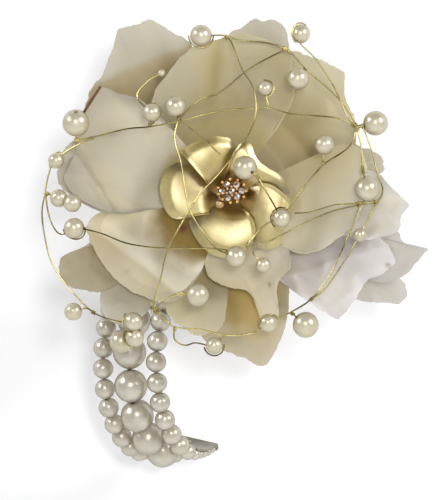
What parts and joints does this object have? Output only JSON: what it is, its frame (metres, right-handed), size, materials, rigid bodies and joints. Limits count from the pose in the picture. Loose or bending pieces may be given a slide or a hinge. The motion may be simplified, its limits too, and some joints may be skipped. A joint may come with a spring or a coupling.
{
  "type": "wrist corsage with flower brooch",
  "caption": "Wrist corsage: a gold flower brooch with clear stones in a bloom of cream petals, under a cage of gold wire and pearls, tied to an open sprung cuff of pearl strands.",
  "frame": {"origin": "middle of the cuff, on its axis, where the wrist goes through", "axes": "+Z is the way the bloom and the brooch face, +Y runs from the cuff to the top of the bloom, +X to the right as the bloom is seen from the front"},
  "size_m": [0.1133, 0.1353, 0.1067],
  "materials": {
    "petal": "matt cream with olive shade at the foot",
    "gold": "satin",
    "gold_wire": "bright, tarnished in places",
    "pearl": "pearl lustre",
    "cuff_pearl": "pearl lustre, greyer",
    "stone": "faceted and clear",
    "pin_steel": "bright drawn wire",
    "cuff_metal": "satin",
    "hub_foam": "matt foam",
    "felt": "felt",
    "stem_tape": "crepe florist tape",
    "ribbon": "satin ribbon"
  },
  "bodies": {
    "corsage": {"cuff_plate": "cuff_metal", "stem_tie_right": "ribbon", "stem_tie_left": "ribbon", "taped_stem": "stem_tape", "bloom_hub": "hub_foam", "felt_backing": "felt", "petal_top_inner": "petal", "petal_right_inner": "petal", "petal_left_inner": "petal", "petal_bottom_inner": "petal", "petal_lower_left_inner": "petal", "petal_lower_right": "petal", "petal_top_left_back": "petal", "petal_top_back": "petal", "petal_top_right_back": "petal", "petal_right_back": "petal", "petal_right_outer": "petal", "petal_right_point": "petal", "petal_lower_right_back": "petal", "petal_bottom_back": "petal", "petal_bottom_left": "petal", "petal_lower_left_outer": "petal", "petal_lower_left_back": "petal", "petal_left_outer": "petal", "brooch_base": "gold", "brooch_petal_1": "gold", "brooch_petal_2": "gold", "brooch_petal_3": "gold", "brooch_petal_4": "gold", "brooch_petal_5": "gold", "stone_setting": "gold", "stone_1": "stone", "stone_2": "stone", "stone_3": "stone", "stone_4": "stone", "stone_5": "stone", "stone_6": "stone", "stone_7": "stone", "pin_bar": "gold", "garland_wire_left": "gold_wire", "garland_wire_top": "gold_wire", "garland_wire_right": "gold_wire", "garland_wire_bottom": "gold_wire", "hanging_pearl_1": "pearl", "hanging_pearl_2": "pearl", "hanging_pearl_3": "pearl", "hanging_pearl_4": "pearl", "hanging_pearl_5": "pearl", "hanging_pearl_6": "pearl", "hanging_pearl_7": "pearl"},
    "near_arm": {"near_strand_right": "cuff_pearl", "near_strand_centre": "cuff_pearl", "near_strand_left": "cuff_pearl", "near_end_bar": "cuff_metal"},
    "far_arm": {"far_strand_right": "cuff_pearl", "far_strand_centre": "cuff_pearl", "far_strand_left": "cuff_pearl", "far_end_bar": "cuff_metal"},
    "needle": {"pin_needle": "pin_steel"},
    "roller": {"catch_roller": "gold"}
  },
  "joints": [
    {"name": "near_arm_spring", "type": "hinge", "parent": "corsage", "child": "near_arm", "pos_m": [-0.00913, 0.0209, 0.01792], "axis": [-0.891, 0, -0.454], "range_deg": [-6, 22], "stiffness_Nm_per_rad": 0.5},
    {"name": "far_arm_spring", "type": "hinge", "parent": "corsage", "child": "far_arm", "pos_m": [-0.0062, 0.02558, 0.01217], "axis": [0.891, 0, 0.454], "range_deg": [-6, 22], "stiffness_Nm_per_rad": 0.5},
    {"name": "needle_swing", "type": "hinge", "parent": "corsage", "child": "needle", "pos_m": [0.00556, 0.05016, 0.04989], "axis": [0, 1, 0], "range_deg": [0, 22]},
    {"name": "catch_turn", "type": "hinge", "parent": "corsage", "child": "roller", "pos_m": [0.02656, 0.05016, 0.04989], "axis": [1, 0, 0], "range_deg": [0, 110]}
  ]
}
